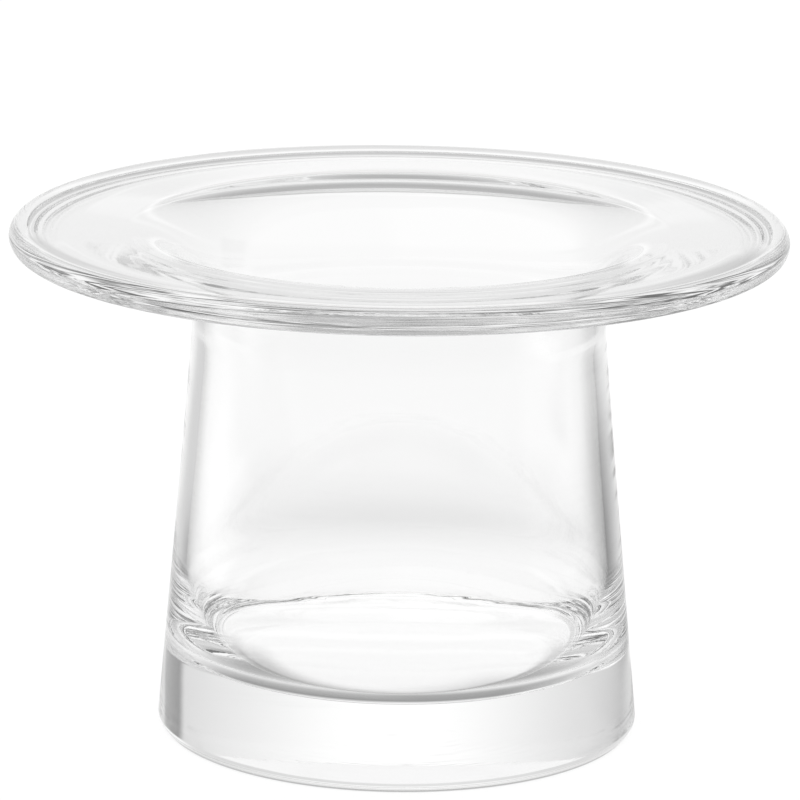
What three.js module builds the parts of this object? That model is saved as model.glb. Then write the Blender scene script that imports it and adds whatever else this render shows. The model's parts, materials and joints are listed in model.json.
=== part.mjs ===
// A vase lantern of clear mouth-blown glass, in millimetres, +Z up.
//
// The whole object is one piece of glass: a thick solid base, a tapering wall that rises from it, and a
// wide brim that the glassmaker spins out of the same wall and finishes with a fire-polished round rim.
// Nothing is joined on, so the part is a single solid of revolution. Its section is drawn once, as the
// closed outline of the glass from the middle of the foot, up the outside, round the rim and back down
// the inside to the middle of the floor, and it is then turned about the Z axis.
//
// The origin is the middle of the foot, on the surface that the lantern stands on.

import * as THREE from "three";

// Driving sizes of the outside.
const OVERALL_HEIGHT = 160; // from the table to the top of the rim
const BRIM_DIAMETER = 240; // over the rim
const FOOT_DIAMETER = 150.5; // where the line of the outer wall would reach the table
const NECK_DIAMETER = 132.2; // where the wall begins to stand a little steeper
const NECK_HEIGHT = 100;
const THROAT_DIAMETER = 124.2; // where the line of the outer wall would reach the brim

// Thicknesses of the glass.
const WALL_THICKNESS = 4.8; // measured level, from the outside of the wall to the inside
const BASE_THICKNESS = 23.5; // solid glass under the floor
const BRIM_THICKNESS = 6.4; // the brim beside the rim
const THROAT_SWELL = 0.4; // how much thicker the brim grows from there to the throat
const RIM_DIAMETER = 8.4; // the round edge of the brim

// The brim is a very shallow dish.
const BRIM_DROP = 0.6; // from the top of the rim down to the brim beside it
const BRIM_DISH = 2.6; // from there down to the throat

// How far each rounded corner reaches along the stretch before it and along the one after it.
const HEEL_REACH = [3.4, 3.4]; // outside, round the foot
const NECK_REACH = [15, 15]; // the slight bend in the wall
const FLARE_REACH = [25.8, 22.7]; // under the brim: down the wall, out along the brim
const THROAT_REACH = [26.7, 30.4]; // inside: out along the brim, down the wall
const FLOOR_REACH = [32, 12]; // inside: up the wall, which thickens there, and in along the floor
const RIM_BLEND = 45; // radius of the hollow between the brim and the rim, above and below

// How finely the round shapes are faceted.
const TURN_STEPS = 72; // round the axis
const ARC_STEP = THREE.MathUtils.degToRad(11); // along a curve of the section
const LONGEST_REACH = 0.98; // the share of a straight stretch that its two corners may use up

// A point of the section: x is the distance from the axis, y the height.
const at = (radius, height) => new THREE.Vector2(radius, height);

// The points of an arc about centre, from one angle to the next, both ends included.
function arc(centre, radius, from, to) {
  const steps = Math.max(2, Math.ceil(Math.abs(to - from) / ARC_STEP));
  return Array.from({ length: steps + 1 }, (_, i) => {
    const angle = from + ((to - from) * i) / steps;
    return at(centre.x + radius * Math.cos(angle), centre.y + radius * Math.sin(angle));
  });
}

// A smooth curve round one corner. It leaves the stretch before the corner at one reach and joins the
// stretch after it at the other. With equal reaches it is a circular arc, and otherwise part of an ellipse.
function roundedCorner(before, corner, after, [reachBefore, reachAfter]) {
  const a = before.clone().sub(corner).normalize();
  const b = after.clone().sub(corner).normalize();
  const half = Math.acos(THREE.MathUtils.clamp(a.dot(b), -1, 1)) / 2;
  const start = corner.clone().addScaledVector(a, reachBefore);
  const end = corner.clone().addScaledVector(b, reachAfter);
  const steps = Math.max(3, Math.ceil((Math.PI - 2 * half) / ARC_STEP));
  return Array.from({ length: steps + 1 }, (_, i) => {
    const t = i / steps;
    const pull = [(1 - t) ** 2, 2 * Math.sin(half) * t * (1 - t), t ** 2];
    const sum = pull[0] + pull[1] + pull[2];
    const towards = [start, corner, end];
    return towards.reduce((point, target, j) => point.addScaledVector(target, pull[j] / sum), at(0, 0));
  });
}

// A line through corners, each with its place and its two reaches. Where two corners want more of the
// stretch between them than it has, both give way by the same share. The two ends aren't rounded.
function roundedLine(corners) {
  const share = corners.slice(1).map((corner, i) => {
    const stretch = corner.place.distanceTo(corners[i].place);
    return Math.min(1, (LONGEST_REACH * stretch) / (corners[i].reach[1] + corner.reach[0]));
  });
  const inner = corners.slice(1, -1).flatMap((corner, i) => {
    const reach = [corner.reach[0] * share[i], corner.reach[1] * share[i + 1]];
    return roundedCorner(corners[i].place, corner.place, corners[i + 2].place, reach);
  });
  return [corners[0].place, ...inner, corners[corners.length - 1].place];
}
const corner = (radius, height, reach = [0, 0]) => ({ place: at(radius, height), reach });

// The outer wall leans in by so much for each millimetre of height below the neck.
const WALL_LEAN = (FOOT_DIAMETER - NECK_DIAMETER) / 2 / NECK_HEIGHT;

// The brim's top and underside beside the rim, and the centre of the rim's round edge.
const BRIM_TOP = OVERALL_HEIGHT - BRIM_DROP;
const BRIM_UNDERSIDE = BRIM_TOP - BRIM_THICKNESS;
const RIM_RADIUS = RIM_DIAMETER / 2;
const RIM_CENTRE = at(BRIM_DIAMETER / 2 - RIM_RADIUS, OVERALL_HEIGHT - RIM_RADIUS);

// The hollow that leads from a face of the brim to the rim. side is 1 above the brim and -1 below.
// Its centre lies RIM_BLEND off that face, and it touches the rim's circle from outside.
function rimBlend(face, side) {
  const height = face + side * RIM_BLEND;
  const apart = RIM_RADIUS + RIM_BLEND;
  const level = Math.sqrt(apart ** 2 - (height - RIM_CENTRE.y) ** 2);
  return at(RIM_CENTRE.x - level, height);
}
const blendUnder = rimBlend(BRIM_UNDERSIDE, -1);
const blendOver = rimBlend(BRIM_TOP, 1);
const touchUnder = blendUnder.clone().sub(RIM_CENTRE).angle() - 2 * Math.PI;
const touchOver = blendOver.clone().sub(RIM_CENTRE).angle();

// The rim's arc has a point where it is widest and one where it is highest, so that both sizes are met.
const OUTERMOST = 0;
const HIGHEST = Math.PI / 2;

// From the middle of the foot up the outside to the underside of the brim.
function outerLine() {
  const flareHeight = BRIM_UNDERSIDE - BRIM_DISH - THROAT_SWELL;
  return roundedLine([
    corner(0, 0),
    corner(FOOT_DIAMETER / 2, 0, HEEL_REACH),
    corner(NECK_DIAMETER / 2, NECK_HEIGHT, NECK_REACH),
    corner(THROAT_DIAMETER / 2, flareHeight, FLARE_REACH),
    corner(blendUnder.x, BRIM_UNDERSIDE),
  ]);
}

// From the top of the brim down the inside to the middle of the floor.
function innerLine() {
  const floorRadius = FOOT_DIAMETER / 2 - WALL_LEAN * BASE_THICKNESS - WALL_THICKNESS;
  return roundedLine([
    corner(blendOver.x, BRIM_TOP),
    corner(THROAT_DIAMETER / 2 - WALL_THICKNESS, BRIM_TOP - BRIM_DISH, THROAT_REACH),
    corner(NECK_DIAMETER / 2 - WALL_THICKNESS, NECK_HEIGHT, NECK_REACH),
    corner(floorRadius, BASE_THICKNESS, FLOOR_REACH),
    corner(0, BASE_THICKNESS),
  ]);
}

function glassSection() {
  return [
    ...outerLine(),
    ...arc(blendUnder, RIM_BLEND, Math.PI / 2, touchUnder + Math.PI).slice(1),
    ...arc(RIM_CENTRE, RIM_RADIUS, touchUnder, OUTERMOST).slice(1),
    ...arc(RIM_CENTRE, RIM_RADIUS, OUTERMOST, HIGHEST).slice(1),
    ...arc(RIM_CENTRE, RIM_RADIUS, HIGHEST, touchOver).slice(1),
    ...arc(blendOver, RIM_BLEND, touchOver - Math.PI, -Math.PI / 2).slice(1),
    ...innerLine().slice(1),
  ];
}

const clearGlass = new THREE.MeshStandardMaterial({
  name: "clear_glass",
  color: 0xf3f6f6,
  roughness: 0.03,
  metalness: 0,
  transparent: true,
  opacity: 0.35,
});

// The turned section stands along Y, so it is tipped up to stand along Z.
function glassVessel() {
  const geometry = new THREE.LatheGeometry(glassSection(), TURN_STEPS);
  geometry.rotateX(Math.PI / 2);
  const vessel = new THREE.Mesh(geometry, clearGlass);
  vessel.name = "glass_vessel";
  return vessel;
}

const lantern = new THREE.Group();
lantern.add(glassVessel());

export default lantern;
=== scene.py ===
# %% [markdown]
# A vase lantern of clear, mouth-blown glass.
#
# The real object is one piece of glass, shaped like a hat that stands on its crown: a thick solid base, a
# wall that leans in towards the top, and a wide brim with a round, fire-polished rim. There is no colour,
# print or second material to paint. All that the eye sees in clear glass is light that was bent or
# mirrored on its way through, so this lesson has two halves that matter equally: the exact shape of the
# glass, inside and outside, and the bright and dark surroundings that the glass shows.
#
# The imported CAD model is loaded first. It stays the frame that everything is measured from.

import json
from math import atan2, ceil, cos, pi, radians, sin, sqrt

import bmesh
import bpy
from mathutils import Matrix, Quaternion, Vector


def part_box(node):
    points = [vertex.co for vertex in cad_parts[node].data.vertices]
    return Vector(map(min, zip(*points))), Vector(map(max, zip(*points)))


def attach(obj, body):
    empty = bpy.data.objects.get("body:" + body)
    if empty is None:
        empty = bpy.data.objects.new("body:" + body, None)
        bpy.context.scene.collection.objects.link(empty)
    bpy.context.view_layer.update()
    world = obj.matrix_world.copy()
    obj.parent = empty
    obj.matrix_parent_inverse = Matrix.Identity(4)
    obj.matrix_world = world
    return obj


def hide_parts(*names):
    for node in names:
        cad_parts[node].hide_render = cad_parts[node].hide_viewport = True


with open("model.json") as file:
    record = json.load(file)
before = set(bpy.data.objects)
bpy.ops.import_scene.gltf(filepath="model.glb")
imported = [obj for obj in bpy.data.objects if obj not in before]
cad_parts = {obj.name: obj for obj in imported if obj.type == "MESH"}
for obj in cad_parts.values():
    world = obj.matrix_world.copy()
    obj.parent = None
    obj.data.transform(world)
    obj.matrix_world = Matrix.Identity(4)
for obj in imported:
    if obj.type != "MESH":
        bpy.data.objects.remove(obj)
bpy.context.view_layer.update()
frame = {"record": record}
LOWEST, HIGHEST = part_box("glass_vessel")
print("CAD box:", [round(v, 4) for v in LOWEST], [round(v, 4) for v in HIGHEST])

# %% [markdown]
# The camera comes first, so that every render is framed as the photograph is.
#
# A long lens far away would flatten the brim's ellipse, and a short one close by would open it. The
# distance, lens and tilt here were found by matching the outline of the brim, the rim and the foot. The
# photograph's camera was also turned by less than a degree, which is why the left of the brim sits a
# little higher than the right, so this camera is turned as well.

# %% Place the camera
MM = 0.001
CAMERA_DISTANCE = 1600 * MM
CAMERA_HEIGHT = 512.5 * MM
CAMERA_SIDE = 1.1 * MM
CAMERA_TILT = radians(14.353)
CAMERA_ROLL = radians(0.756)
LEVEL_VIEW = radians(90)
SENSOR_WIDTH = 36.0
PHOTO_WIDTH = 800
FOCAL_LENGTH_IN_PIXELS = 5328
MIDDLE_IN_PIXELS = 400.8


def place_camera():
    data = bpy.data.cameras.new("product_camera")
    data.sensor_width = SENSOR_WIDTH
    data.lens = FOCAL_LENGTH_IN_PIXELS / PHOTO_WIDTH * SENSOR_WIDTH
    data.shift_x = (PHOTO_WIDTH / 2 - MIDDLE_IN_PIXELS) / PHOTO_WIDTH
    camera = bpy.data.objects.new("product_camera", data)
    camera.location = (CAMERA_SIDE, -CAMERA_DISTANCE, CAMERA_HEIGHT)
    camera.rotation_mode = "QUATERNION"
    look = Quaternion((1, 0, 0), LEVEL_VIEW - CAMERA_TILT)
    turn = Quaternion((0, 0, 1), CAMERA_ROLL)
    camera.rotation_quaternion = look @ turn
    bpy.context.scene.collection.objects.link(camera)
    bpy.context.scene.camera = camera
    return camera


camera = place_camera()
print("lens:", round(camera.data.lens, 1), "mm")

# %% [markdown]
# The section is the shape of the glass where a cut through the axis would show it.
#
# It could be modelled by pushing vertices of a cylinder about, but glass is unforgiving: a bend that is a
# millimetre out moves every bright line seen through it. So the section is drawn as a turner would draw
# it, from a few sizes, with straight stretches that are rounded into one another. The drawing starts in
# the middle of the foot, goes up the outside, round the rim, and back down the inside to the floor.

# %% Sizes of the section
HEIGHT = HIGHEST.z
BRIM_RADIUS = HIGHEST.x
BASE_THICKNESS = next(m["pos_m"][2] for m in frame["record"]["mounts"] if m["name"] == "candle_floor")
FOOT_RADIUS = 75.25 * MM
NECK_RADIUS = 66.1 * MM
NECK_HEIGHT = 100 * MM
THROAT_OUTER_RADIUS = 62.1 * MM
WALL = 4.8 * MM
RIM_RADIUS = 4.2 * MM
BRIM_THICKNESS = 6.4 * MM
THROAT_SWELL = 0.4 * MM
BRIM_DROP = 0.6 * MM
BRIM_DISH = 2.6 * MM
HEEL_REACH = (3.4 * MM, 3.4 * MM)
NECK_REACH = (15 * MM, 15 * MM)
FLARE_REACH = (25.8 * MM, 22.7 * MM)
THROAT_REACH = (26.7 * MM, 30.4 * MM)
FLOOR_REACH = (32 * MM, 12 * MM)
RIM_BLEND = 45 * MM
print("height", round(HEIGHT, 4), "brim radius", round(BRIM_RADIUS, 4), "base", BASE_THICKNESS)

# %% Arcs, rounded corners and straight stretches
ARC_STEP = radians(3)
STRETCH_STEP = 5 * MM
SAME_PLACE = 1e-7


def at(radius, height):
    return Vector((radius, height))


def angle_of(v):
    return atan2(v.y, v.x)


def arc(centre, radius, start, end):
    steps = max(2, ceil(abs(end - start) / ARC_STEP))
    angles = [start + (end - start) * i / steps for i in range(steps + 1)]
    return [centre + radius * at(cos(a), sin(a)) for a in angles]


def rounded(before, corner, after, reach):
    """A smooth curve round a corner, which may reach further along one side of it than along the other."""
    a = (before - corner).normalized()
    b = (after - corner).normalized()
    half = a.angle(b) / 2
    start = corner + a * reach[0]
    end = corner + b * reach[1]
    steps = ceil((pi - 2 * half) / ARC_STEP)
    curve = []
    for i in range(steps + 1):
        t = i / steps
        pull = [(1 - t) ** 2, 2 * sin(half) * t * (1 - t), t ** 2]
        curve.append((start * pull[0] + corner * pull[1] + end * pull[2]) / sum(pull))
    return curve


def with_stretches(points):
    drawn = [points[0]]
    for here, there in zip(points, points[1:]):
        steps = ceil((there - here).length / STRETCH_STEP)
        if (there - here).length > SAME_PLACE:
            drawn += [here.lerp(there, (i + 1) / steps) for i in range(steps)]
    return drawn


# %% Draw the section
def glass_section():
    top = HEIGHT - BRIM_DROP
    under = top - BRIM_THICKNESS
    rim = at(BRIM_RADIUS - RIM_RADIUS, HEIGHT - RIM_RADIUS)

    def blend_centre(face, side):
        height = face + side * RIM_BLEND
        apart = RIM_RADIUS + RIM_BLEND
        return at(rim.x - sqrt(apart ** 2 - (height - rim.y) ** 2), height)

    blend_under = blend_centre(under, -1)
    blend_over = blend_centre(top, 1)
    touch_under = angle_of(blend_under - rim)
    touch_over = angle_of(blend_over - rim)
    lean = (FOOT_RADIUS - NECK_RADIUS) / NECK_HEIGHT
    heel = at(FOOT_RADIUS, 0)
    neck = at(NECK_RADIUS, NECK_HEIGHT)
    flare = at(THROAT_OUTER_RADIUS, under - BRIM_DISH - THROAT_SWELL)
    throat = at(THROAT_OUTER_RADIUS - WALL, top - BRIM_DISH)
    neck_inside = at(NECK_RADIUS - WALL, NECK_HEIGHT)
    floor = at(FOOT_RADIUS - lean * BASE_THICKNESS - WALL, BASE_THICKNESS)
    return with_stretches([
        at(0, 0),
        *rounded(at(0, 0), heel, neck, HEEL_REACH),
        *rounded(heel, neck, flare, NECK_REACH),
        *rounded(neck, flare, at(blend_under.x, under), FLARE_REACH),
        *arc(blend_under, RIM_BLEND, pi / 2, touch_under + pi),
        *arc(rim, RIM_RADIUS, touch_under, 0),
        *arc(rim, RIM_RADIUS, 0, pi / 2),
        *arc(rim, RIM_RADIUS, pi / 2, touch_over),
        *arc(blend_over, RIM_BLEND, touch_over - pi, -pi / 2),
        *rounded(at(blend_over.x, top), throat, neck_inside, THROAT_REACH),
        *rounded(throat, neck_inside, floor, NECK_REACH),
        *rounded(neck_inside, floor, at(0, BASE_THICKNESS), FLOOR_REACH),
        at(0, BASE_THICKNESS),
    ])


def section_object(points):
    mesh = bpy.data.meshes.new("glass_section")
    edges = [(i, i + 1) for i in range(len(points) - 1)]
    mesh.from_pydata([(p.x, 0, p.y) for p in points], edges, [])
    section = bpy.data.objects.new("glass_section", mesh)
    bpy.context.scene.collection.objects.link(section)
    return section


section = section_object(glass_section())
print("points in the section:", len(section.data.vertices))

# %% [markdown]
# Turning the section about the axis makes the glass.
#
# Blender's Screw modifier or the Spin tool would do it, and both leave a seam and two open poles to clean
# up. A small Geometry Nodes tree shows the rule instead: a grid has one row of points for each step round
# the axis, every row is laid along the section, and the seam and the poles are merged. The tree then adds
# what hand work leaves behind: a surface that is uneven by about a tenth of a millimetre, and a body that
# stands a hair out of true with its brim. The table side of the foot is ground flat, so it is left alone.

# %% A helper that adds a node
def add_node(tree, kind, inputs, **settings):
    made = tree.nodes.new(kind)
    for name, value in settings.items():
        setattr(made, name, value)
    for key, value in inputs.items():
        if isinstance(value, bpy.types.NodeSocket):
            tree.links.new(value, made.inputs[key])
        else:
            made.inputs[key].default_value = value
    return made


def maths(tree, operation, *values, kind="ShaderNodeMath"):
    return add_node(tree, kind, dict(enumerate(values)), operation=operation).outputs[0]


def scaled(tree, vector, factor):
    inputs = {0: vector, "Scale": factor}
    return add_node(tree, "ShaderNodeVectorMath", inputs, operation="SCALE").outputs[0]


# %% The turning tree
TREE_INPUTS = {
    "Section": "NodeSocketGeometry",
    "Steps": "NodeSocketInt",
    "Height": "NodeSocketFloat",
    "Lean": "NodeSocketFloat",
    "Unevenness": "NodeSocketFloat",
    "Waves per metre": "NodeSocketFloat",
    "Seed": "NodeSocketFloat",
    "Flat foot": "NodeSocketFloat",
    "Glass": "NodeSocketMaterial",
}
MERGE_DISTANCE = 0.002 * MM
WAVE_DETAIL = 1.0
WAVE_ROUGHNESS = 0.4


def turned_points(tree, given):
    """The grid, with each of its rows laid along the section at its own angle."""
    size = add_node(tree, "GeometryNodeAttributeDomainSize", {"Geometry": given["Section"]})
    count = size.outputs["Point Count"]
    rows = maths(tree, "ADD", given["Steps"], 1)
    grid = add_node(tree, "GeometryNodeMeshGrid", {"Vertices X": rows, "Vertices Y": count}).outputs["Mesh"]
    index = add_node(tree, "GeometryNodeInputIndex", {}).outputs[0]
    along = maths(tree, "MODULO", index, count)
    row = maths(tree, "FLOOR", maths(tree, "DIVIDE", index, count))
    angle = maths(tree, "DIVIDE", maths(tree, "MULTIPLY", row, 2 * pi), given["Steps"])
    place = add_node(tree, "GeometryNodeInputPosition", {}).outputs[0]
    point = add_node(
        tree, "GeometryNodeSampleIndex", {"Geometry": given["Section"], "Value": place, "Index": along},
        data_type="FLOAT_VECTOR", domain="POINT",
    ).outputs[0]
    radius, _, height = add_node(tree, "ShaderNodeSeparateXYZ", {0: point}).outputs
    turned = add_node(tree, "ShaderNodeCombineXYZ", {
        "X": maths(tree, "MULTIPLY", radius, maths(tree, "COSINE", angle)),
        "Y": maths(tree, "MULTIPLY", radius, maths(tree, "SINE", angle)),
        "Z": height,
    }).outputs[0]
    laid = add_node(tree, "GeometryNodeSetPosition", {"Geometry": grid, "Position": turned}).outputs[0]
    merged = add_node(tree, "GeometryNodeMergeByDistance", {"Geometry": laid, "Distance": MERGE_DISTANCE})
    return merged.outputs[0]


def hand_work(tree, given, glass):
    """Waves along the surface's own normal, and the lean of the body under its brim."""
    place = add_node(tree, "GeometryNodeInputPosition", {}).outputs[0]
    normal = add_node(tree, "GeometryNodeInputNormal", {}).outputs[0]
    height = add_node(tree, "ShaderNodeSeparateXYZ", {0: place}).outputs["Z"]
    noise = add_node(tree, "ShaderNodeTexNoise", {
        "Vector": place,
        "W": given["Seed"],
        "Scale": given["Waves per metre"],
        "Detail": WAVE_DETAIL,
        "Roughness": WAVE_ROUGHNESS,
    }, noise_dimensions="4D").outputs[0]
    off_the_table = maths(tree, "DIVIDE", height, given["Flat foot"])
    kept = add_node(tree, "ShaderNodeClamp", {0: off_the_table}).outputs[0]
    depth = maths(tree, "MULTIPLY", maths(tree, "MULTIPLY", noise, kept), given["Unevenness"])
    inwards = maths(tree, "MULTIPLY", depth, -1)
    waves = scaled(tree, normal, inwards)
    below = maths(tree, "SUBTRACT", 1, maths(tree, "DIVIDE", height, given["Height"]))
    aside = maths(tree, "MULTIPLY", below, given["Lean"])
    lean = add_node(tree, "ShaderNodeCombineXYZ", {"X": aside}).outputs[0]
    offset = maths(tree, "ADD", waves, lean, kind="ShaderNodeVectorMath")
    return add_node(tree, "GeometryNodeSetPosition", {"Geometry": glass, "Offset": offset}).outputs[0]


def turning_tree():
    tree = bpy.data.node_groups.new("turn_and_blow", "GeometryNodeTree")
    for name, kind in TREE_INPUTS.items():
        tree.interface.new_socket(name, in_out="INPUT", socket_type=kind)
    tree.interface.new_socket("Vessel", in_out="OUTPUT", socket_type="NodeSocketGeometry")
    given = tree.nodes.new("NodeGroupInput").outputs
    glass = hand_work(tree, given, turned_points(tree, given))
    smooth = add_node(tree, "GeometryNodeSetShadeSmooth", {"Geometry": glass}).outputs[0]
    solid = add_node(tree, "GeometryNodeRealizeInstances", {"Geometry": smooth}).outputs[0]
    made = add_node(tree, "GeometryNodeSetMaterial", {"Geometry": solid, "Material": given["Glass"]})
    tree.links.new(made.outputs[0], tree.nodes.new("NodeGroupOutput").inputs[0])
    print("nodes in the turning tree:", len(tree.nodes))
    return tree


# %% [markdown]
# Clear glass is the simplest material to name and the hardest to see.
#
# A Principled BSDF with full transmission bends and mirrors light as soda-lime glass does. The glass is
# colourless, so its volume takes only a trace of light, the same share of red, green and blue. The surface
# is fire polished, which leaves no roughness, only shallow marks of the turning that run round the axis.
#
# A few helpers come first. They make soft steps and soft-edged patches, for the streaks in the glass, and
# further down for the studio and the floor.

# %% Helpers for soft patches
def soft_step(tree, value, start, end):
    """0 before start and 1 after end, with a smooth slope between them; end may also come before start."""
    return add_node(
        tree, "ShaderNodeMapRange", {"Value": value, "From Min": start, "From Max": end},
        interpolation_type="SMOOTHSTEP",
    ).outputs[0]


def between(tree, value, ends, soft):
    """1 from one end to the other. soft is how far each edge fades, and an end can be left open."""
    there = 1.0
    if ends[0] is not None:
        there = soft_step(tree, value, ends[0] - soft[0], ends[0] + soft[0])
    if ends[1] is not None:
        before_end = soft_step(tree, value, ends[1] + soft[1], ends[1] - soft[1])
        there = maths(tree, "MULTIPLY", there, before_end)
    return there


def blend(tree, share, first, second):
    return add_node(tree, "ShaderNodeMix", {0: share, 2: first, 3: second}).outputs[0]


def seen_through_glass(tree):
    """1 for a ray that glass bent or mirrored, and 0 for one from the camera or a lit surface."""
    path = add_node(tree, "ShaderNodeLightPath", {}).outputs
    bent = maths(tree, "MAXIMUM", path["Is Glossy Ray"], path["Is Transmission Ray"])
    return maths(tree, "MULTIPLY", bent, maths(tree, "SUBTRACT", 1, path["Is Camera Ray"]))


def turn_of(tree, side, depth):
    """Degrees to the right from straight behind the lantern."""
    return maths(tree, "DEGREES", maths(tree, "ARCTAN2", side, depth))


def away_from_axis(tree, side, depth):
    squares = maths(tree, "ADD", maths(tree, "POWER", side, 2), maths(tree, "POWER", depth, 2))
    return maths(tree, "SQRT", squares)


def beside(tree, patch, turn, side):
    """Where a patch lies round the lantern. One with a side is counted alike on either side."""
    if "turn" not in patch:
        return 1.0
    counted = maths(tree, "ABSOLUTE", turn) if "side" in patch else turn
    there = between(tree, counted, patch["turn"], (patch["turn_soft"],) * 2)
    if patch.get("side", "both") == "both":
        return there
    far = patch["side_soft"] if patch["side"] == "right" else -patch["side_soft"]
    return maths(tree, "MULTIPLY", there, soft_step(tree, side, -far, far))


def laid_over(tree, level, patch, there):
    return maths(tree, "MULTIPLY", level, blend(tree, there, 1.0, patch["level"]))


# %% [markdown]
# A tool held against the turning glass leaves rings in it, so faint that a finger hardly feels them.
#
# They could be cut into the mesh, which would need millions of faces. A bump of about a hundredth of a
# millimetre bends the light in the same way. Its pattern is a noise that is stretched along the turn, so
# that it runs round the axis in long strokes. It reads the place on the object, so it stays on the glass.

# %% Marks of the turning
MARK_LENGTH = 80 * MM
MARK_WIDTH = 3 * MM
MARK_HEIGHT = 0.012 * MM
MARK_DETAIL = 2.0


def turning_marks(tree, place):
    """Noise that is long round the axis, and short up the wall and out along the brim."""
    side, depth, height = add_node(tree, "ShaderNodeSeparateXYZ", {0: place}).outputs
    turn = maths(tree, "ARCTAN2", depth, side)
    radius = away_from_axis(tree, side, depth)
    reach = BRIM_RADIUS / MARK_LENGTH
    along = add_node(tree, "ShaderNodeCombineXYZ", {
        "X": maths(tree, "MULTIPLY", maths(tree, "COSINE", turn), reach),
        "Y": maths(tree, "MULTIPLY", maths(tree, "SINE", turn), reach),
        "Z": maths(tree, "DIVIDE", radius, MARK_WIDTH),
    }).outputs[0]
    return add_node(tree, "ShaderNodeTexNoise", {
        "Vector": along,
        "W": maths(tree, "DIVIDE", height, MARK_WIDTH),
        "Scale": 1.0,
        "Detail": MARK_DETAIL,
    }, noise_dimensions="4D").outputs[0]


print("marks:", round(MARK_LENGTH / MM), "by", round(MARK_WIDTH / MM), "mm,", MARK_HEIGHT / MM, "mm high")

# %% [markdown]
# Some light is caught in the round rim and in the foot of the wall.
#
# It is mirrored inside dozens of times before it finds a way out. In the real glass the marks let it out,
# in bright and dark streaks. Following every such ray would take very long and end in black where the
# renderer gives up. So the surface glows faintly, in streaks along the marks, but only for a ray at its
# last bounce. No other ray sees that glow. It is one rule for all of the glass, so it suits every side.

# %% Light caught in the glass
LAST_BOUNCE = 8
HALF_A_BOUNCE = 0.5
STREAK_RANGE = (0.4, 0.6)
STREAK_LEVELS = (0.15, 1.0)


def caught_light(tree, marks):
    """What the marks let out where a ray is followed no further: grey, in streaks along them."""
    streaks = blend(tree, soft_step(tree, marks, *STREAK_RANGE), *STREAK_LEVELS)
    bounces = add_node(tree, "ShaderNodeLightPath", {}).outputs["Ray Depth"]
    at_last = maths(tree, "COMPARE", bounces, LAST_BOUNCE + 1, HALF_A_BOUNCE)
    return maths(tree, "MULTIPLY", at_last, streaks)


print("rays are followed for", LAST_BOUNCE, "bounces, then see grey from", *STREAK_LEVELS)

# %% [markdown]
# The glass itself is one Principled BSDF, whose plain numbers are set on its own sockets.
#
# A Glass BSDF would look the same in this picture, but other programs read the Principled one. The trace of
# light that thick glass takes is a volume: it is hardly there in the wall, and shows in the solid base.

# %% The glass
GLASS_IOR = 1.5
GLASS_TINT = (0.75, 0.75, 0.75, 1)
ABSORPTION_PER_METRE = 0.6


def clear_glass():
    material = bpy.data.materials.new("clear_blown_glass")
    material.use_nodes = True
    tree = material.node_tree
    tree.nodes.clear()
    place = add_node(tree, "ShaderNodeTexCoord", {}).outputs["Object"]
    marks = turning_marks(tree, place)
    ripple = add_node(tree, "ShaderNodeBump", {"Height": marks, "Strength": 1.0, "Distance": MARK_HEIGHT})
    glass = add_node(tree, "ShaderNodeBsdfPrincipled", {
        "Base Color": (1, 1, 1, 1),
        "Roughness": 0.0,
        "IOR": GLASS_IOR,
        "Transmission Weight": 1.0,
        "Normal": ripple.outputs[0],
        "Emission Color": (1, 1, 1, 1),
        "Emission Strength": caught_light(tree, marks),
    })
    body = add_node(tree, "ShaderNodeVolumeAbsorption", {
        "Color": GLASS_TINT,
        "Density": ABSORPTION_PER_METRE,
    })
    add_node(tree, "ShaderNodeOutputMaterial", {"Surface": glass.outputs[0], "Volume": body.outputs[0]})
    print("glass:", len(tree.nodes), "nodes, bends light by", GLASS_IOR)
    return material


# %% Turn the section
TURN_STEPS = 240
HAND_WORK = {
    "Steps": TURN_STEPS,
    "Height": HEIGHT,
    "Lean": 1.1 * MM,
    "Unevenness": 0.15 * MM,
    "Waves per metre": 22.0,
    "Seed": 4.0,
    "Flat foot": 3 * MM,
    "Glass": clear_glass(),
}


def turned(section, tree, values, name):
    modifier = section.modifiers.new("turn", "NODES")
    modifier.node_group = tree
    for socket in tree.interface.items_tree:
        if socket.in_out == "INPUT" and socket.name in values:
            modifier[socket.identifier] = values[socket.name]
    ready = section.evaluated_get(bpy.context.evaluated_depsgraph_get())
    mesh = bpy.data.meshes.new_from_object(ready)
    mesh.name = name
    made = bpy.data.objects.new(name, mesh)
    bpy.context.scene.collection.objects.link(made)
    bpy.data.objects.remove(section)
    return made


CM3_PER_M3 = 1e6


def faces_out(piece):
    shape = bmesh.new()
    shape.from_mesh(piece.data)
    volume = shape.calc_volume(signed=True)
    if volume < 0:
        bmesh.ops.reverse_faces(shape, faces=shape.faces)
        shape.to_mesh(piece.data)
    open_edges = sum(not edge.is_manifold for edge in shape.edges)
    triangles = sum(len(face.verts) - 2 for face in shape.faces)
    shape.free()
    print(piece.name, "volume", round(abs(volume) * CM3_PER_M3), "cm3")
    print("open edges", open_edges, "triangles", triangles)


vessel = turned(section, turning_tree(), HAND_WORK, "blown_vessel")
faces_out(vessel)

# %% [markdown]
# Glass shows its surroundings, so the studio is drawn with care.
#
# In a product photograph of clear glass a white backdrop alone would leave nothing to see. What draws the
# glass are the places that aren't white. They were found by going backwards: a ray is followed from a grey
# place on the glass to where it comes from in the room, and that part of the room is made as grey. Cards
# and lamps could be hung for all this. Soft patches in the world's shader do the same, cast no shadow of
# their own and stay out of every view.
#
# A patch says where it starts and ends in degrees, how soft its edges are, and how many times as bright it
# makes what lies behind it. Its turn is counted to the right from straight behind the lantern, and its rise
# up from level. One with a side is counted alike on the left and the right, and lies on the side it names;
# side_soft is how far it fades where the two sides meet.

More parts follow.
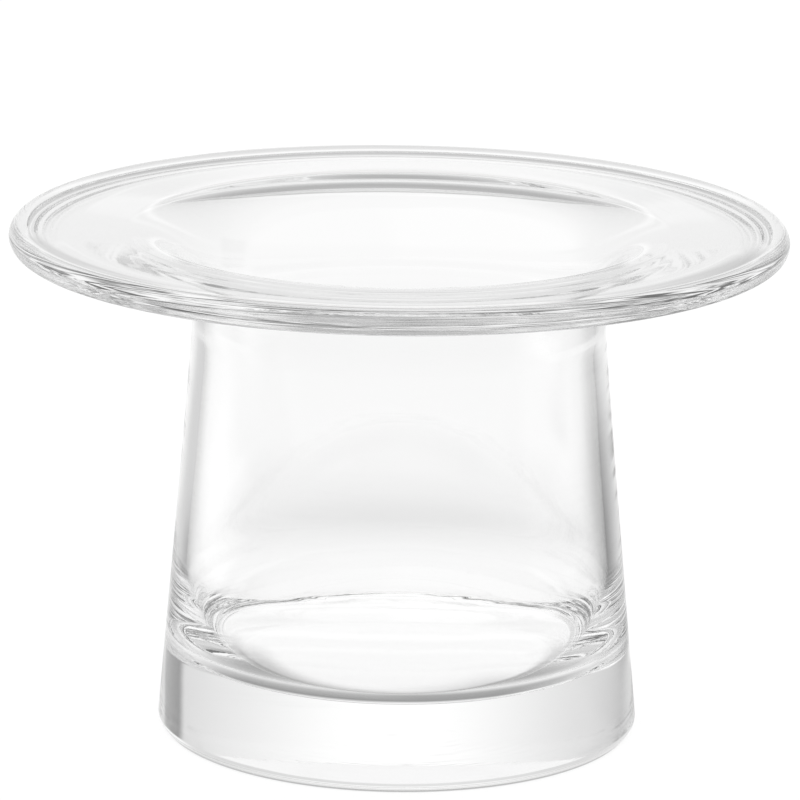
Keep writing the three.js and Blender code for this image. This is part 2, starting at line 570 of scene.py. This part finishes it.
# %% World
SKY_BASE = 0.707
SKY_PATCHES = {
    "backdrop": {"level": 1.11, "turn": (-21, 10), "turn_soft": 20, "rise": (None, 18.6), "rise_soft": 0.6},
    "backdrop_foot": {
        "level": 1.31, "turn": (-26, 25), "turn_soft": 13,
        "rise": (None, 4.4), "rise_soft": 2.4,
    },
    "light_strip": {
        "level": 1.46, "turn": (-23, 31), "turn_soft": 35,
        "rise": (16.6, 19.3), "rise_soft": 1.2,
    },
    "ceiling_gap": {
        "level": 0.61, "turn": (-36, 55), "turn_soft": 13,
        "rise": (27.6, 51.4), "rise_soft": 10.9,
    },
    "right_flag": {"level": 0.3, "turn": (56, 77), "turn_soft": 3, "rise": (14, 24), "rise_soft": 1.8},
    "right_lamp": {"level": 1.45, "turn": (49, 84), "turn_soft": 6, "rise": (None, 11), "rise_soft": 3},
    "left_flag": {
        "level": 0.55, "turn": (-76, -55), "turn_soft": 13,
        "rise": (15.7, 18.8), "rise_soft": 0.6,
    },
    "left_room": {
        "level": 1.7, "side": "left", "side_soft": 0.15, "turn": (54, None), "turn_soft": 10,
        "rise": (18.8, None), "rise_soft": 5.2,
    },
    "right_room": {
        "level": 1.47, "side": "right", "side_soft": 0.15, "turn": (77, None), "turn_soft": 7,
        "rise": (21.7, None), "rise_soft": 4.6,
    },
    "right_end": {
        "level": 0.66, "side": "right", "side_soft": 0.15, "turn": (80, 136), "turn_soft": 6,
        "rise": (None, 12.2), "rise_soft": 4.2,
    },
    "left_end": {
        "level": 1.07, "side": "left", "side_soft": 0.15, "turn": (80, 135), "turn_soft": 6,
        "rise": (None, 10.5), "rise_soft": 4.1,
    },
}
LIGHT_LEVEL = 1.0


def studio_level(tree):
    """How bright the studio is, seen from the lantern."""
    way = add_node(tree, "ShaderNodeTexCoord", {}).outputs["Generated"]
    side, depth, up = add_node(tree, "ShaderNodeSeparateXYZ", {0: way}).outputs
    turn = turn_of(tree, side, depth)
    rise = maths(tree, "DEGREES", maths(tree, "ARCSINE", up))
    level = SKY_BASE
    for patch in SKY_PATCHES.values():
        high = between(tree, rise, patch["rise"], (patch["rise_soft"],) * 2)
        there = maths(tree, "MULTIPLY", high, beside(tree, patch, turn, side))
        level = laid_over(tree, level, patch, there)
    return level


def studio_world():
    """Plain even light for what the lamps would light, and the studio for what the glass shows."""
    world = bpy.data.worlds.new("studio")
    bpy.context.scene.world = world
    world.use_nodes = True
    tree = world.node_tree
    tree.nodes.clear()
    shown = blend(tree, seen_through_glass(tree), LIGHT_LEVEL, studio_level(tree))
    print("patches in the studio:", len(SKY_PATCHES))
    white = add_node(tree, "ShaderNodeBackground", {"Color": (1, 1, 1, 1), "Strength": shown}).outputs[0]
    add_node(tree, "ShaderNodeOutputWorld", {"Surface": white})


studio_world()

# %% [markdown]
# The floor is a plain white sheet that reaches so far that its edge is never seen.
#
# A lantern of clear glass throws a strange shadow: two soft grey lobes behind it, one for each of the two
# lamps at the front, with the darkest part beside the heavy foot. Traced light would need thousands of
# samples to find its way through the glass to a lamp and back, so the lobes are drawn on the sheet as soft
# patches, and the glass shows them. Their distances are counted in millimetres from the middle of the
# foot, and their edges fade by a share of that distance.
#
# Where the camera looks at the sheet itself, it is white. It keeps the faint true shadow under and around
# the foot, and a thin dark line of painted shadow is drawn where the foot meets it.

# %% Painted shade and light on the floor
FLOOR_BASE = 0.967
# Each patch is painted shade or painted light on the sheet, seen only through the glass. A level under 1
# paints shadow, and one over 1, as under the foot and far to the left and right, paints a pool of light.
PAINTED_FLOOR_PATCHES = {
    "under_foot": {"level": 1.11, "away": (None, 81), "away_soft": 0.03},
    "heel_shade": {
        "level": 0.44, "side": "both", "turn": (99, None), "turn_soft": 28,
        "away": (53, 73), "away_soft": 0.07,
    },
    "heel_shade_right": {
        "level": 0.6, "side": "right", "side_soft": 12, "turn": (131, None), "turn_soft": 11,
        "away": (45, 66), "away_soft": 0.25,
    },
    "foot_shade": {
        "level": 0.89, "side": "both", "turn": (35, None), "turn_soft": 12,
        "away": (79, 108), "away_soft": 0.15,
    },
    "right_lobe": {
        "level": 0.35, "turn": (43, 63), "turn_soft": 14,
        "away": (132, 1200), "away_soft": 0.11,
    },
    "right_lobe_far": {
        "level": 0.5, "turn": (23, 65), "turn_soft": 7,
        "away": (260, 500), "away_soft": 0.57,
    },
    "left_lobe": {
        "level": 0.68, "turn": (-54, -29), "turn_soft": 5,
        "away": (200, 1200), "away_soft": 0.55,
    },
    "left_lobe_far": {
        "level": 0.6, "turn": (-59, -46), "turn_soft": 8,
        "away": (250, 360), "away_soft": 0.22,
    },
    "behind": {"level": 0.8, "turn": (-22, 23), "turn_soft": 20, "away": (170, 280), "away_soft": 0.3},
    "left_side": {"level": 0.81, "turn": (-94, -47), "turn_soft": 9, "away": (75, 300), "away_soft": 0.19},
    "right_side": {"level": 0.71, "turn": (53, 95), "turn_soft": 5, "away": (68, 400), "away_soft": 0.03},
    "left_beyond": {
        "level": 1.58, "turn": (-94, -65), "turn_soft": 12,
        "away": (330, 3000), "away_soft": 0.08,
    },
    "right_beyond": {
        "level": 1.21, "turn": (61, 111), "turn_soft": 4,
        "away": (450, 3000), "away_soft": 0.32,
    },
    "camera_side": {
        "level": 0.72, "side": "both", "turn": (96, None), "turn_soft": 21,
        "away": (100, 600), "away_soft": 0.49,
    },
    "left_spot": {"level": 0.25, "turn": (-61, -43), "turn_soft": 9, "away": (166, 225), "away_soft": 0.13},
    "right_spot": {"level": 0.81, "turn": (36, 60), "turn_soft": 8, "away": (163, 225), "away_soft": 0.11},
    "heel_shade_left": {
        "level": 0.6, "side": "left", "side_soft": 12, "turn": (100, None), "turn_soft": 15,
        "away": (44, 62), "away_soft": 0.12,
    },
}


def painted_floor_light_and_shade(tree):
    """How bright the sheet is where the glass shows it: painted shade and painted light."""
    place = add_node(tree, "ShaderNodeTexCoord", {}).outputs["Object"]
    in_mm = scaled(tree, place, 1 / MM)
    side, depth, _ = add_node(tree, "ShaderNodeSeparateXYZ", {0: in_mm}).outputs
    away = away_from_axis(tree, side, depth)
    turn = turn_of(tree, side, depth)
    level = FLOOR_BASE
    for patch in PAINTED_FLOOR_PATCHES.values():
        soft = [patch["away_soft"] * (end or 0) for end in patch["away"]]
        near = between(tree, away, patch["away"], soft)
        there = maths(tree, "MULTIPLY", near, beside(tree, patch, turn, side))
        level = laid_over(tree, level, patch, there)
    return level


# %% Floor
FLOOR_SIZE = 60.0
FLOOR_GAP = 0.3 * MM
FLOOR_WHITE = 0.8
CAMERA_WHITE = 0.9
SHADOW_SHARE = 0.15
# A painted contact shadow: a thin ring of darker white on the sheet, just inside the edge of the foot.
CONTACT_SHADOW_RING = (69 * MM, 72.9 * MM)
CONTACT_SHADOW_SOFT = 0.5 * MM
CONTACT_SHADOW_LEVEL = 0.5


def white_with_contact_shadow(tree):
    """The white of the sheet, with a thin dark line of painted contact shadow where the foot meets it."""
    place = add_node(tree, "ShaderNodeTexCoord", {}).outputs["Object"]
    foot = (HAND_WORK["Lean"], 0, 0)
    apart = add_node(tree, "ShaderNodeVectorMath", {0: place, 1: foot}, operation="DISTANCE")
    line = between(tree, apart.outputs["Value"], CONTACT_SHADOW_RING, (CONTACT_SHADOW_SOFT,) * 2)
    return blend(tree, line, CAMERA_WHITE, CAMERA_WHITE * CONTACT_SHADOW_LEVEL)


def matt(tree, grey):
    return add_node(tree, "ShaderNodeBsdfDiffuse", {"Color": (grey, grey, grey, 1)}).outputs[0]


def glowing(tree, strength):
    inputs = {"Color": (1, 1, 1, 1), "Strength": strength}
    return add_node(tree, "ShaderNodeEmission", inputs).outputs[0]


def white_floor_material():
    material = bpy.data.materials.new("white_sheet")
    material.use_nodes = True
    tree = material.node_tree
    tree.nodes.clear()
    path = add_node(tree, "ShaderNodeLightPath", {}).outputs
    lit = matt(tree, FLOOR_WHITE)
    faint = matt(tree, SHADOW_SHARE)
    glow = glowing(tree, white_with_contact_shadow(tree))
    white = add_node(tree, "ShaderNodeAddShader", {0: glow, 1: faint}).outputs[0]
    shade = glowing(tree, painted_floor_light_and_shade(tree))
    bent = add_node(tree, "ShaderNodeMixShader", {0: seen_through_glass(tree), 1: lit, 2: shade}).outputs[0]
    shown = add_node(tree, "ShaderNodeMixShader", {0: path["Is Camera Ray"], 1: bent, 2: white}).outputs[0]
    add_node(tree, "ShaderNodeOutputMaterial", {"Surface": shown})
    return material


def white_floor():
    mesh = bpy.data.meshes.new("floor")
    half = FLOOR_SIZE / 2
    corners = [(-half, -half), (half, -half), (half, half), (-half, half)]
    mesh.from_pydata([(x, y, LOWEST.z - FLOOR_GAP) for x, y in corners], [], [(0, 1, 2, 3)])
    mesh.materials.append(white_floor_material())
    floor = bpy.data.objects.new("floor", mesh)
    bpy.context.scene.collection.objects.link(floor)
    print("patches on the floor:", len(PAINTED_FLOOR_PATCHES))


white_floor()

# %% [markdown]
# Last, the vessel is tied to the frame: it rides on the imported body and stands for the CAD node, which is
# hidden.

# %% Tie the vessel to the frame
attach(vessel, "root")
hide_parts("glass_vessel")

# %% Set the view and the bounces
scene = bpy.context.scene
scene.view_settings.view_transform = "Standard"
scene.cycles.max_bounces = LAST_BOUNCE
scene.cycles.transmission_bounces = LAST_BOUNCE
scene.cycles.glossy_bounces = LAST_BOUNCE
